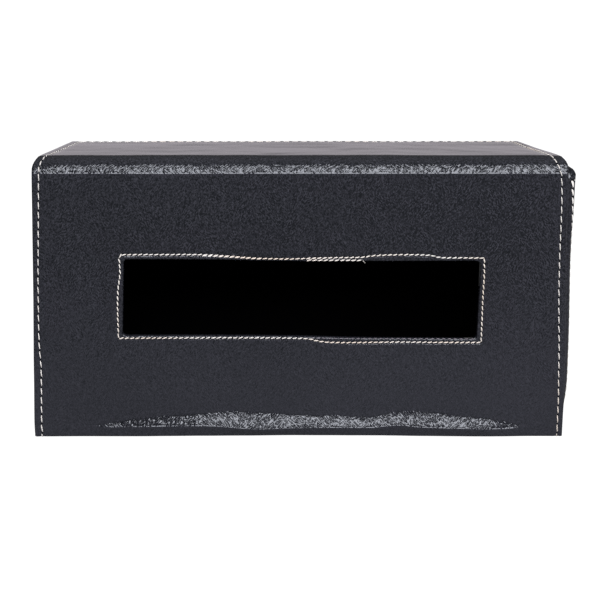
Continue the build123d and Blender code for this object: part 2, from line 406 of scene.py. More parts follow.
wrap = {
    "wall": 4.0,
    "thickness": 0.8,
    "foldRadius": 8.0,
    "foldDepth": 12.6,  # the leather's own fold reaches further back than the boards'
    "footRadius": 0.6,
    "edgeRadius": 1.0,
    "edgeTurn": 2.4,  # depth of a line halfway down the turned edges
    "hem": 8.0,  # turned in at the mouth
    "hemLines": (0.08, 0.5, 1.0),
    # how far the turned edges stand out beyond the card, by height of the front and on across the top
    "leftFlare": [
        (0, 1.6), (6, 1.8), (14, 1.7), (24, 1.5), (39, 1.3), (53, 1.0), (68, 0.7), (82, 0.5), (96, 0.3),
        (111, 0.1), (121, 0), (127, -0.1), (131, -0.1), (135, -0.6), (139, -1.0), (150, -0.6), (170, -0.4),
        (235, 0),
    ],
    "rightFlare": [
        (0, 1.0), (10, 1.2), (18, 1.4), (28, 1.25), (42, 1.25), (64, 0.75), (78, 0.4), (90, 0.1), (118, 0),
        (127, -0.1), (131, 0.1), (135, -0.2), (139, -0.6), (150, 0.0), (170, 0.1), (235, 0),
    ],
    "flareReach": 14.0,
    "groove": 0.16,  # the stitches pull the leather in this far
    "grooveWidth": 0.85,
    "ripple": 0.16,
    "ripplePatch": 42.0,
    "fineRipplePatch": 14.0,
    "fineRippleShare": 0.5,
    "fineRippleSeed": 40,
    "taut": 0.75,  # share of ripple and groove that is lost over the fold
    "tautReach": (3.0, 9.0),  # before and after the boards' fold
    "tautFade": 4.0,
    "topRise": 1.35,
    "edgeDroop": 0.18,  # the top's side edges roll down this far
    "droopReach": 7.0,  # from the side edges
    "droopFade": (6.0, 45.0),  # at the front and at the rear of the top
    # a small dent in the fold: its place from the box's middle and its height, then its sizes and its depth
    "creaseAt": (27.9, 137.0),
    "creaseSize": (9.0, 4.0),
    "crease": 0.10,
    # the leather above the foot is puffed out: its slope, top and foot by place along the box
    "puffSlope": [
        (-100, 0.34), (-75, 0.38), (-50, 0.40), (-35, 0.45), (-20, 0.52), (0, 0.49), (25, 0.48), (42, 0.42),
        (50, 0.46), (62, 0.52), (88, 0.54), (97, 0.45), (110, 0.36),
    ],
    "puffTop": [
        (-125, 1.2), (-112, 3.6), (-99, 5.4), (-86, 7.5), (-72, 9.2), (-59, 10.2), (-45, 11.1), (-32, 11.8),
        (-19, 11.2), (-5, 10.2), (8, 9.7), (22, 9.6), (30, 8.8), (37, 9.4), (43, 11.2), (52, 11.8),
        (62, 11.2), (69, 10.6), (77, 9.2), (89, 8.3), (102, 6.2), (112, 3.8), (125, 1.2),
    ],
    "puffFoot": [
        (-99, 4.7), (-79, 5.2), (-52, 5.7), (-39, 5.6), (-32, 5.0), (-19, 4.1), (-5, 4.5), (18, 4.8),
        (35, 4.6), (42, 5.6), (48, 6.2), (56, 5.4), (65, 5.0), (82, 4.5), (95, 4.2), (108, 4.7),
    ],
    "puffRound": 1.4,
    "puffKept": 0.5,  # share of the puff that is left at the foot
    "puffEnd": 30.0,  # there is none above this height
    "footDrop": 0.36,
    "footRise": 1.0,
    "footFade": 12.0,
    "frontDepth": 5.0,  # leather that is no further back than this belongs to the front
    "slotMargin": 9.0,  # the slot is this much smaller than the facing behind it
    "slotCorner": 2.0,
    "slotLip": 0.6,
    "slotRoll": [(0.2, 0.05), (0.42, 0.18), (0.6, 0.6), (0.6, 2.2)],  # inward and deep
    # how far the slot's long edges wander up from straight
    "slotTopWander": [(-84, 1.1), (-40, 1.0), (-10, 0.4), (10, 0.2), (40, 0.2), (84, 0.4)],
    "slotFootWander": [(-84, 0.4), (-50, 0.4), (-20, 0.3), (0, 0.0), (30, -0.8), (84, -1.3)],
    "wanderFade": 5.0,
    "wanderEnds": (96.0, 10.0),  # from the middle, and the fade before it
    "slotLean": 1.35,  # the slot's short edges lean over this far
    "slotLeanFrom": 0.33,  # share of the slot's height that stays in place
    "slotLeanSpan": (-0.2, 1.2),
    "slotLeanFade": 3.0,
    "slotLonger": 0.9,  # the right end reaches this much further
    # distance of the edge rows from the edge, by height up the front and on across the top
    "leftMargin": [
        (0, 3.4), (25, 3.5), (34, 3.5), (40, 3.1), (46, 2.75), (57, 2.55), (69, 2.5), (80, 2.6), (92, 2.85),
        (105, 3.1), (118, 3.35), (128, 3.6), (133, 3.7), (137, 3.9), (142, 4.5), (150, 5.0), (190, 5.2),
        (235, 5.4),
    ],
    "rightMargin": [
        (0, 2.6), (15, 2.75), (34, 2.95), (52, 3.3), (70, 3.5), (86, 3.35), (105, 3.1), (118, 3.2),
        (126, 3.7), (132, 5.0), (139, 5.6), (180, 5.3), (235, 4.4),
    ],
    "edgeRowEnds": (1.2, 2.0),  # left free under the front and at the rear
    "edgeRowPoints": 60,
    "rearMargin": 3.0,
    "rearRowEnds": 5.0,
}

wrapLines = {
    "coarse": 2.2,
    # reach and spacing where the mesh lines are closer together
    "edge": (6.0, 0.6),
    "slotEnd": (4.0, 0.6),
    "slotSide": (5.0, 0.55),
    "puff": (20.0, 1.0),
    "foldFoot": (4.0, 1.0),
    "rear": (2.0, 0.7),
    # spacing on the round parts
    "foot": 0.5,
    "slotCorner": 0.65,
    "fold": 0.7,
}

wrapLow, wrapHigh = nodeBox("outer_wrap")
facingLow, facingHigh = nodeBox("slot_facing")
middleX = (wrapLow.x + wrapHigh.x) / 2
slotLow = facingLow + Vector((1, 0, 1)) * wrap["slotMargin"]
slotHigh = facingHigh - Vector((1, 0, 1)) * wrap["slotMargin"]


def wrapStretches():  # straight and round stretches of the sheet's section, from under the front to the rear
    wall, fold, foot, edge = (wrap[key] for key in ("wall", "foldRadius", "footRadius", "edgeRadius"))
    front, rear, low, top = wrapLow.y, wrapHigh.y, wrapLow.z, wrapHigh.z
    inside, ceiling = front + wall, top - wall
    quarter = math.pi / 2
    footCentre = (front + foot, low + foot)
    foldCentre = (front + fold, top - fold)
    edgeCentre = (rear - edge, top - edge)
    return [
        # length, centre from and to, radius, turn from and to, inner centre from and to, inner radius
        (wall - foot, (inside, low), (front + foot, low), 0, 1, 1,
         (inside, low), (inside, low + foot / 3), 0),
        (quarter * foot, footCentre, footCentre, foot, 1, 2,
         (inside, low + foot / 3), (inside, low + foot), 0),
        (top - fold - low - foot, (front, low + foot), (front, top - fold), 0, 2, 2,
         (inside, low + foot), (inside, top - fold), 0),
        (quarter * fold, foldCentre, foldCentre, fold, 2, 3,
         foldCentre, foldCentre, fold - wall),
        (rear - edge - front - fold, (front + fold, top), (rear - edge, top), 0, 3, 3,
         (front + fold, ceiling), (rear - edge, ceiling), 0),
        (quarter * edge, edgeCentre, edgeCentre, edge, 3, 4,
         (rear - edge, ceiling), (rear - edge / 2, ceiling), 0),
        (wall - edge, (rear, top - edge), (rear, ceiling), 0, 4, 4,
         (rear - edge / 2, ceiling), (rear, ceiling), 0),
    ]


stretches = wrapStretches()
pathLength = sum(row[0] for row in stretches)
frontStart = stretches[0][0] + stretches[1][0]
foldStart = frontStart + stretches[2][0]
topStart = foldStart + stretches[3][0]
rearRouteAlong = topStart + stretches[4][0] - wrap["rearMargin"]


def alongFront(z):  # distance along the sheet at a height up the front
    return frontStart + z - wrapLow.z - wrap["footRadius"]


def frontHeight(along):  # height above the foot, which goes on counting across the top
    return along - frontStart + wrap["footRadius"]


def sectionAt(along):  # outer point, inner point and outward direction
    deep, high = wrap["foldDepth"], wrap["foldRadius"]
    folded = (along - foldStart) / (topStart - foldStart + deep - high)
    for length, centre0, centre1, radius, turn0, turn1, inner0, inner1, innerRadius in stretches:
        if along <= length + 1e-6:
            break
        along -= length
    share = min(max(along / length, 0.0), 1.0)
    angle = -math.pi / 2 * (turn0 + (turn1 - turn0) * share)
    outward = Vector((0, math.cos(angle), math.sin(angle)))
    outer = Vector((0, *centre0)).lerp(Vector((0, *centre1)), share) + outward * radius
    inner = Vector((0, *inner0)).lerp(Vector((0, *inner1)), share) + outward * innerRadius
    if 0 < folded < 1:
        angle = math.pi / 2 * folded
        back, down = deep * (1 - math.cos(angle)), high * (1 - math.sin(angle))
        outer = Vector((0, wrapLow.y + back, wrapHigh.z - down))
        outward = Vector((0, -math.cos(angle) / deep, math.sin(angle) / high)).normalized()
    return outer, inner, outward


# Thread routes on the wrap, as (place from the middle of the box, height up the front)

slotRoutes = {
    "top": [
        (-84.8, 86.6), (-84.1, 87.8), (-82.2, 88.3), (-60, 88.4), (-44.7, 88.3), (-32.9, 87.6),
        (-21.2, 86.7), (-7.1, 86.3), (4.7, 86.6), (16.4, 86.9), (28.7, 87.1), (35.2, 87.9), (47, 88.3),
        (60, 88.1), (66, 87.0), (76, 86.8), (86.5, 86.7),
    ],
    "right": [(86.5, 86.7), (86.6, 78), (86.2, 66), (86.1, 56), (85.9, 46.2)],
    "foot": [
        (85.9, 46.2), (66, 46.2), (47.4, 46.4), (28, 46.2), (14, 46.3), (7.2, 47.2), (1, 48.2), (-28, 48.5),
        (-60, 48.4), (-85.7, 48.3),
    ],
    "left": [(-85.7, 48.3), (-85.85, 63), (-85.5, 71.6), (-84.5, 79), (-84.6, 83.5), (-84.8, 86.6)],
}
slotSecondRoutes = [  # stitched over again, at the left and in the middle of the top row
    [(-46, 88.0), (-33, 87.3), (-18, 86.3)],
    [(3.0, 85.75), (16, 85.7), (29.0, 85.65)],
]
slotTraceRoute = [(2, 48.35), (30, 48.2), (60, 48.1), (83, 47.9)]  # small grey stitches under the slot
threadTailRoute = [(29.1, 85.6), (29.9, 85.1), (30.7, 84.2)]


def patternRun(route):
    return smoothRun([(x + middleX, alongFront(z), 0.0) for x, z in route])


def edgeRun(side):
    before, after = wrap["edgeRowEnds"]
    start, end = before, pathLength - after
    margins = wrap["rightMargin"] if side > 0 else wrap["leftMargin"]
    count = wrap["edgeRowPoints"]
    points = []
    for index in range(count + 1):
        along = start + (end - start) * index / count
        margin = through(margins, frontHeight(along))
        x = wrapHigh.x - margin if side > 0 else wrapLow.x + margin
        points.append((x, along, 0.0))
    return smoothRun(points)


slotRuns = [patternRun(route) for route in slotRoutes.values()]
slotSecondRuns = [patternRun(route) for route in slotSecondRoutes]
slotTraceRun = patternRun(slotTraceRoute)
threadTailRun = patternRun(threadTailRoute)
leftEdgeRun = edgeRun(-1)
rightEdgeRun = edgeRun(1)
rearEnds = (wrapLow.x + wrap["rearRowEnds"], wrapHigh.x - wrap["rearRowEnds"])
rearEdgeRun = smoothRun([(x, rearRouteAlong, 0.0) for x in rearEnds])
groovePoints = [point for run in (*slotRuns, leftEdgeRun, rightEdgeRun, rearEdgeRun) for point in run]
grooves = kdtree.KDTree(len(groovePoints))
for number, point in enumerate(groovePoints):
    grooves.insert(point, number)
grooves.balance()


def wrapLift(x, along):  # how far the leather stands off its plain shape
    before, after = wrap["tautReach"]
    fade = wrap["tautFade"]
    taut = wrap["taut"] * ease((along - foldStart + before) / fade)
    free = 1 - taut * ease((topStart + after - along) / fade)
    ripple = wrap["ripple"] * free
    lift = ripple * noise.noise(Vector((x, along, 0)) / wrap["ripplePatch"])
    fine = noise.noise(Vector((x, along, wrap["fineRippleSeed"])) / wrap["fineRipplePatch"])
    lift += ripple * wrap["fineRippleShare"] * fine
    if along > topStart:
        lift += wrap["topRise"] * (along - topStart) / (pathLength - topStart)
    creaseX, creaseZ = wrap["creaseAt"]
    creaseWide, creaseHigh = wrap["creaseSize"]
    across = (x - middleX - creaseX) / creaseWide
    up = (frontHeight(along) - creaseZ + wrapLow.z) / creaseHigh
    lift -= wrap["crease"] * math.exp(-(across**2 + up**2))
    distance = grooves.find((x, along, 0))[2]
    lift -= wrap["groove"] * free * math.exp(-((distance / wrap["grooveWidth"]) ** 2))
    return lift


def wrapPuff(x, height):  # how far the leather above the foot is puffed out to the front
    place = x - middleX
    foot = through(wrap["puffFoot"], place)
    rise = through(wrap["puffTop"], place) - max(height, foot)
    rounding = wrap["puffRound"]
    if abs(rise) < rounding:
        rise = (rise + rounding) ** 2 / (4 * rounding)
    kept = wrap["puffKept"] + (1 - wrap["puffKept"]) * ease(height / foot)
    return through(wrap["puffSlope"], place) * max(rise, 0) * kept


def wrapPlace(co):  # from the flat pattern, (along the box, along the sheet, outward), to its place
    x, along, outward = co
    wall = wrap["wall"]
    outer, inner, direction = sectionAt(along)
    depth = min(max(-outward / wall, 0.0), 1.0)
    lift = (wrapLift(x, along) + max(outward, 0)) * (1 - depth)
    point = outer.lerp(inner, depth) + direction * lift
    height = frontHeight(along)
    left = ease(1 - (x - wrapLow.x) / wrap["flareReach"]) * through(wrap["leftFlare"], height)
    right = ease(1 - (wrapHigh.x - x) / wrap["flareReach"]) * through(wrap["rightFlare"], height)
    point.x = x + right - left
    if along > topStart:
        side = min(x - wrapLow.x, wrapHigh.x - x)
        frontFade, rearFade = wrap["droopFade"]
        droop = wrap["edgeDroop"] * ease(1 - side / wrap["droopReach"])
        droop *= ease((along - topStart) / frontFade)
        point.z -= droop * (1 - depth) * ease((rearRouteAlong - along) / rearFade)
    if height < wrap["puffEnd"]:
        point.y -= wrapPuff(x, height) * min((wrapLow.y + wall - point.y) / wall, 1)
    if point.y < wrapLow.y + wrap["frontDepth"]:
        place = abs(x - middleX) / (wrapHigh.x - middleX)
        rise = wrap["footRise"] * ease(1 - place) - wrap["footDrop"]
        point.z += rise * ease(1 - (point.z - wrapLow.z) / wrap["footFade"])
    return point * mm


def wrapColumns():  # (place along the box, depth) across the pattern, with its ends turned in
    edge, wall, lip, corner = (wrap[key] for key in ("edgeRadius", "wall", "slotLip", "slotCorner"))
    turns = (0, math.pi / 6, math.pi / 3, math.pi / 2)
    left = [(wrapLow.x, wall), (wrapLow.x, wrap["edgeTurn"])]
    left += [(wrapLow.x + edge * (1 - math.cos(turn)), edge * (1 - math.sin(turn))) for turn in turns]
    right = [(wrapHigh.x + wrapLow.x - x, depth) for x, depth in reversed(left)]
    right += [(wrapHigh.x - wrap["hem"] * share, wall) for share in wrap["hemLines"]]
    slotLeft, slotRight = slotLow.x - lip, slotHigh.x + lip
    edgeReach, edgeStep = wrapLines["edge"]
    endReach, endStep = wrapLines["slotEnd"]
    zones = [
        (wrapLow.x + edge, wrapLow.x + edgeReach, edgeStep),
        (slotLeft - endReach, slotLeft, endStep),
        (slotLeft, slotLow.x + corner, wrapLines["slotCorner"]),
        (slotHigh.x - corner, slotRight, wrapLines["slotCorner"]),
        (slotRight, slotRight + endReach, endStep),
        (wrapHigh.x - edgeReach, wrapHigh.x - edge, edgeStep),
    ]
    flat = evenLines(wrapLow.x + edge, wrapHigh.x - edge, wrapLines["coarse"], zones)
    return left + [(x, 0.0) for x in flat[1:-1]] + right


def wrapRows():  # places along the sheet
    lip, corner = wrap["slotLip"], wrap["slotCorner"]
    foot, top = alongFront(slotLow.z), alongFront(slotHigh.z)
    puffHeight, puffStep = wrapLines["puff"]
    sideReach, sideStep = wrapLines["slotSide"]
    foldReach, foldStep = wrapLines["foldFoot"]
    rearReach, rearStep = wrapLines["rear"]
    zones = [
        (0.0, frontStart, wrapLines["foot"]),
        (frontStart, alongFront(puffHeight), puffStep),
        (foot - lip - sideReach, foot - lip, sideStep),
        (foot - lip, foot + corner, wrapLines["slotCorner"]),
        (top - corner, top + lip, wrapLines["slotCorner"]),
        (top + lip, top + lip + sideReach, sideStep),
        (foldStart - foldReach, foldStart, foldStep),
        (foldStart, topStart, wrapLines["fold"]),
        (rearRouteAlong - rearReach, pathLength, rearStep),
    ]
    return evenLines(0.0, pathLength, wrapLines["coarse"], zones)


def cutSlot(bm, low, high):  # opens the slot in the flat pattern and returns the edges round it
    inSlot = []
    for face in bm.faces:
        middle = face.calc_center_median()
        if low.x < middle.x < high.x and low.y < middle.y < high.y:
            inSlot.append(face)
    bmesh.ops.delete(bm, geom=inSlot, context="FACES")
    near = 0.1
    return [
        edge
        for edge in bm.edges
        if edge.is_boundary
        and all(low.x - near < vert.co.x < high.x + near for vert in edge.verts)
        and all(low.y - near < vert.co.y < high.y + near for vert in edge.verts)
    ]


def roundSlot(rim, low, high, radius):  # pulls the rim on to arcs at the slot's corners
    for vert in {vert for edge in rim for vert in edge.verts}:
        fromX = min(vert.co.x - low.x, high.x - vert.co.x)
        fromY = min(vert.co.y - low.y, high.y - vert.co.y)
        sideX = 1 if vert.co.x - low.x < high.x - vert.co.x else -1
        sideY = 1 if vert.co.y - low.y < high.y - vert.co.y else -1
        if fromX < radius and fromY < radius:
            turn = math.pi / 4 * (1 - max(fromX, fromY) / radius)
            across, down = radius * (1 - math.sin(turn)), radius * (1 - math.cos(turn))
            if fromX < fromY:
                across, down = down, across
            vert.co.x += sideX * (across - fromX)
            vert.co.y += sideY * (down - fromY)


def turnSlotIn(bm, rim, low, high, radius):  # the slot's leather is turned in over the card
    centreLow = low + Vector((radius, radius))
    centreHigh = high - Vector((radius, radius))
    reachedIn, reachedDeep = 0.0, 0.0
    for inward, deep in (*wrap["slotRoll"], (wrap["slotLip"], wrap["wall"])):
        ring = bmesh.ops.extrude_edge_only(bm, edges=rim)["geom"]
        rim = [part for part in ring if isinstance(part, bmesh.types.BMEdge)]
        for vert in (part for part in ring if isinstance(part, bmesh.types.BMVert)):
            centreX = min(max(vert.co.x, centreLow.x), centreHigh.x)
            centreY = min(max(vert.co.y, centreLow.y), centreHigh.y)
            direction = (Vector((centreX, centreY)) - vert.co.xy).normalized() * (inward - reachedIn)
            vert.co += Vector((*direction, reachedDeep - deep))
        reachedIn, reachedDeep = inward, deep


def wanderSlot(bm, low, high):  # the slot's long edges wander and its short ones lean
    wanderEnd, endFade = wrap["wanderEnds"]
    lowShare, highShare = wrap["slotLeanSpan"]
    for vert in bm.verts:
        x, along = vert.co.x - middleX, vert.co.y
        fromTop = ease(1 - abs(along - high.y) / wrap["wanderFade"])
        fromFoot = ease(1 - abs(along - low.y) / wrap["wanderFade"])
        nearSlot = ease((wanderEnd - abs(x)) / endFade)
        wander = through(wrap["slotTopWander"], x) * fromTop + through(wrap["slotFootWander"], x) * fromFoot
        vert.co.y += wander * nearSlot
        fromEnd = min(abs(vert.co.x - low.x), abs(vert.co.x - high.x))
        nearEnd = ease(1 - fromEnd / wrap["slotLeanFade"])
        share = (along - low.y) / (high.y - low.y)
        if lowShare < share < highShare:
            longer = wrap["slotLonger"] if x > 0 else 0
            vert.co.x += (wrap["slotLean"] * (share - wrap["slotLeanFrom"]) + longer) * nearEnd


def buildWrap():
    columns, rows = wrapColumns(), wrapRows()
    bm = bmesh.new()
    lastColumn, lastRow = len(columns) - 1, len(rows) - 1
    bmesh.ops.create_grid(bm, x_segments=lastColumn, y_segments=lastRow, size=0.5)
    for vert in bm.verts:
        x, depth = columns[round((vert.co.x + 0.5) * lastColumn)]
        vert.co = (x, rows[round((vert.co.y + 0.5) * lastRow)], -depth)
    lip = wrap["slotLip"]
    low = Vector((slotLow.x - lip, alongFront(slotLow.z) - lip))
    high = Vector((slotHigh.x + lip, alongFront(slotHigh.z) + lip))
    radius = wrap["slotCorner"] + lip
    rim = cutSlot(bm, low, high)
    roundSlot(rim, low, high, radius)
    turnSlotIn(bm, rim, low, high, radius)
    wanderSlot(bm, low, high)
    for vert in bm.verts:
        vert.co = wrapPlace(vert.co)
    bmesh.ops.remove_doubles(bm, verts=bm.verts, dist=0.02 * mm)
    piece = makePiece("outerWrap", bm, leather, "box", ["outer_wrap"])
    thick = piece.modifiers.new("thickness", "SOLIDIFY")
    thick.thickness = wrap["thickness"] * mm
    thick.offset = -1


# Stitches: short threads laid end to end, each one dipping into a needle hole at both ends, where a dark dot
# is painted as the hole's shade

edgeStitch = {"pitch": 4.38, "length": 3.75, "width": 0.47, "height": 0.50, "slant": 5.0}
leftEdgeStitch = {**edgeStitch, "pitch": 4.47}
rearStitch = {**edgeStitch, "pitch": 4.85, "length": 4.1, "height": 0.36}
slotStitch = {"pitch": 2.55, "length": 2.45, "width": 0.55, "height": 0.50, "slant": 13.0}
flapStitch = {"pitch": 3.95, "length": 3.4, "width": 0.46, "height": 0.40, "slant": 5.0}
traceStitch = {"pitch": 2.7, "length": 1.7, "width": 0.35, "height": 0.22, "slant": 4.0}
tailStitch = {"pitch": 2.2, "length": 2.2, "width": 0.18, "height": 0.18, "slant": 0.0}
anyStitch = {
    "shakeRate": 0.37,  # how quickly the shake changes along a row
    "shakeTurn": 0.7,  # share of the slant
    "shakeLength": 0.08,
    "fullness": 0.8,  # below 1 the ends are blunter
    "middle": 0.16,  # height of the thread's middle
    "dip": 0.34,  # its ends are this much lower
}
# dark flattened cones laid on the leather at the needle holes, as painted shade
needleHole = {"rim": 0.42, "foot": 0.25, "depth": 0.10, "middle": 0.02}


def walkRun(run, pitch):  # places and directions one pitch apart along a run of points
    places = []
    wanted, passed = pitch / 2, 0.0
    for first, second in zip(run, run[1:]):
        length = (second - first).length
        while length > 0 and passed + length >= wanted:
            share = (wanted - passed) / length
            places.append((first.lerp(second, share), (second - first).normalized()))
            wanted += pitch
        passed += length
    return places


def layStitch(bm, point, direction, number, stitch, scale, place):
    shake = noise.noise_vector(Vector((point.x, point.y, number)) * anyStitch["shakeRate"])
    slant = stitch["slant"] * (1 + anyStitch["shakeTurn"] * shake.x)
    turn = math.atan2(direction.y, direction.x) + math.radians(slant)
    spin = Matrix.Rotation(turn, 3, "Z")
    half = stitch["length"] * scale * (1 + anyStitch["shakeLength"] * shake.y) / 2
    made = bmesh.ops.create_uvsphere(bm, u_segments=8, v_segments=6, radius=0.5)["verts"]
    for vert in made:
        along, across, up = vert.co.z * 2, vert.co.x, vert.co.y
        full = math.copysign(abs(along) ** anyStitch["fullness"], along)
        side = Vector((full * half, across * stitch["width"], up * stitch["height"]))
        side.z += anyStitch["middle"] - anyStitch["dip"] * along**4
        vert.co = place(Vector((point.x, point.y, 0)) + spin @ side)


# lays a dark dot of painted shade at a needle hole
def layHoleShade(bm, end, place):
    rim, foot, depth, middle = needleHole.values()
    dot = bmesh.ops.create_cone(bm, cap_ends=True, segments=7, radius1=rim, radius2=foot, depth=depth)
    for vert in dot["verts"]:
        vert.co = place(Vector((end.x, end.y, 0)) + vert.co + Vector((0, 0, middle)))


def layStitches(bm, holeShades, run, stitch, place):
    length = sum((second - first).length for first, second in zip(run, run[1:]))
    pitch = length / max(1, round(length / stitch["pitch"]))
    tiny = 1e-4  # so that the last stitch is not lost by rounding
    for number, (point, direction) in enumerate(walkRun(run, pitch - tiny)):
        layStitch(bm, point, direction, number, stitch, pitch / stitch["pitch"], place)
        if holeShades is not None:
            layHoleShade(holeShades, point + direction * pitch / 2, place)


def stitchRow(name, runs, stitch, place, body="box", withHoleShades=True, material=thread):
    bm = bmesh.new()
    holeShades = bmesh.new() if withHoleShades else None
    for run in runs:
        layStitches(bm, holeShades, run, stitch, place)
    bmesh.ops.recalc_face_normals(bm, faces=bm.faces)
    makePiece(name + "Stitches", bm, material, body)
    if withHoleShades:
        bmesh.ops.recalc_face_normals(holeShades, faces=holeShades.faces)
        makePiece(name + "NeedleHoles", holeShades, hole, body)


# Stage and light, with places and sizes in metres

lights = {
    "worldCamera": 1.15,
    "worldDiffuse": 0.28,
    "worldGlossy": 0.52,
    # brightness of the room by degrees above the horizon: a pale backdrop, dark above it, lighter overhead
    "room": [(7.0, (1.0, 0.93, 1.0)), (8.0, 0.10), (20.0, 0.12), (45.0, 0.25), (68.0, 0.49), (88.0, 0.57)],
    "keyPower": 49.0,
    "keyPlace": (0.20, -1.08, 1.02),
    "fillPower": 26.0,  # it lights the rear
    "fillPlace": (-0.55, 1.25, 0.85),
    "lampSize": (1.40, 1.28),
    "aim": (0, 0, 0.05),
    "floorHalf": 6.0,
    "floorPlace": (0, 0, -0.05 * mm),
    "floorColour": 0.32,
    "floorStrength": 1.30,
    "floorCamera": 0.80,
    "floorMirror": 0.25,  # how bright the floor is in reflections
}


def rayShares(maker, camera, glossy):  # how much of the studio's white each kind of ray sees
    names = ("Is Camera Ray", "Is Glossy Ray", "Is Transmission Ray")
    seen = [maker.add("LightPath", {}, {}, name) for name in names]
    share = seen[0].math("MAXIMUM", seen[0], seen[2]) * camera
    return share.math("MAXIMUM", share, seen[1] * glossy)


def makeWorld():
    world = bpy.data.worlds.new("studio")
    bpy.context.scene.world = world
    world.use_nodes = True
    maker = NodeMaker(world.node_tree)
    direction = maker.add("TexCoord", {}, {}, "Generated")
    height = maker.add("SeparateXYZ", {}, {"Vector": direction}, "Z")
    stops = [(math.sin(math.radians(angle)) / 2 + 0.5, level) for angle, level in lights["room"]]
    shade = maker.add("ValToRGB", {"stops": stops}, {"Fac": height * 0.5 + 0.5})
    shares = rayShares(maker, lights["worldCamera"], lights["worldGlossy"])
    strength = shares.math("MAXIMUM", shares, lights["worldDiffuse"])
    maker.finish(maker.add("Background", {}, {"Color": shade, "Strength": strength}), "World")


def makeStage():
    bm = bmesh.new()
    bmesh.ops.create_grid(bm, x_segments=1, y_segments=1, size=lights["floorHalf"])
    bmesh.ops.translate(bm, verts=bm.verts, vec=lights["floorPlace"])
    mesh = bpy.data.meshes.new("floor")
    bm.to_mesh(mesh)
    bm.free()
    material, maker = newMaterial("paleFloor")
    plain = maker.add("BsdfDiffuse", {}, {"Color": grey(lights["floorColour"])})
    mirrored = maker.add("LightPath", {}, {}, "Is Glossy Ray")
    strength = lights["floorStrength"] - mirrored * (lights["floorStrength"] - lights["floorMirror"])
    glow = maker.add("Emission", {}, {"Color": (1, 1, 1, 1), "Strength": strength})
    shares = rayShares(maker, lights["floorCamera"], 1.0)
    maker.finish(maker.add("MixShader", {}, {0: shares, 1: plain, 2: glow}))
    mesh.materials.append(material)
    newObject("floor", mesh)


def makeLamp(name, place, power, mirrored=True):
    data = bpy.data.lights.new(name, "AREA")
    data.shape = "RECTANGLE"
    data.size, data.size_y = lights["lampSize"]
    data.energy = power
    lamp = newObject(name, data)
    lamp.location = place
    lamp.rotation_euler = (Vector(lights["aim"]) - Vector(place)).to_track_quat("-Z", "Y").to_euler()
    lamp.visible_glossy = mirrored


makeCamera()
makeWorld()
makeStage()
makeLamp("softKey", lights["keyPlace"], lights["keyPower"])
makeLamp("rearFill", lights["fillPlace"], lights["fillPower"], mirrored=False)
print("stage and light made")

buildWrap()
print("outer wrap made")

stitchRow("slot", slotRuns, slotStitch, wrapPlace)
stitchRow("slotSecond", slotSecondRuns, slotStitch, wrapPlace, withHoleShades=False)
stitchRow("slotTrace", [slotTraceRun], traceStitch, wrapPlace, withHoleShades=False, material=greyThread)
stitchRow("threadTail", [threadTailRun], tailStitch, wrapPlace, withHoleShades=False)
stitchRow("leftEdge", [leftEdgeRun], leftEdgeStitch, wrapPlace)
stitchRow("rightEdge", [rightEdgeRun], edgeStitch, wrapPlace)
stitchRow("rearEdge", [rearEdgeRun], rearStitch, wrapPlace)
print("stitches on the wrap made")

# Covers and linings keep their CAD shape, cut finely so that leather can be padded and cloth can ripple

cover = {
    "coarse": 3.2,
    "fine": 0.8,
    "fineReach": 6.0,
    "pad": 0.30,
    "padReach": 9.0,
    "seamMargin": 3.0,
    "groove": 0.28,
    "grooveWidth": 0.9,
    "ripple": 0.14,
    "rippleReach": 4.0,
    "ripplePatch": 38.0,
    "seedStep": 50,  # so that each cover ripples in its own way
    "outerReach": 0.02,  # points this near the outer face are padded
}
lining = {"ripplePatch": 14.0, "plainSide": 6.0}  # sides shorter than this are left uncut
meshCare = {"merge": 0.002, "flatAngle": 0.6, "snap": 0.004}


def pieceName(node):  # left_end_cover becomes leftEndCover
    first, *others = node.split("_")
    return first + "".join(word.capitalize() for word in others)


def nodeMesh(node):  # a CAD node's mesh with its loose triangles joined
    bm = bmesh.new()
    bm.from_mesh(frame["nodes"][node].data)
    bmesh.ops.remove_doubles(bm, verts=bm.verts, dist=meshCare["merge"] * mm)
    flat = math.radians(meshCare["flatAngle"])
    bmesh.ops.dissolve_limit(bm, angle_limit=flat, verts=bm.verts, edges=bm.edges)
    return bm


def cutAcross(bm, axis, lines):
    normal = Vector((0, 0, 0))
    normal[axis] = 1
    for line in lines:
        geom = bm.verts[:] + bm.edges[:] + bm.faces[:]
        snap = meshCare["snap"] * mm
        bmesh.ops.bisect_plane(bm, geom=geom, dist=snap, plane_co=normal * line * mm, plane_no=normal)


def fineLines(low, high):
    reach, fine = cover["fineReach"], cover["fine"]
    zones = [(low, low + reach, fine), (high - reach, high, fine)]
    return evenLines(low, high, cover["coarse"], zones)[1:-1]


def padLift(place, edge, seed, seam):  # how far padded leather stands off its board
    ripple = noise.noise(Vector((*place, seed)) / cover["ripplePatch"])
    lift = cover["pad"] * ease(edge / cover["padReach"])
    lift += cover["ripple"] * ease(edge / cover["rippleReach"]) * ripple
    if seam:
        lift -= cover["groove"] * math.exp(-(((edge - cover["seamMargin"]) / cover["grooveWidth"]) ** 2))
    return lift


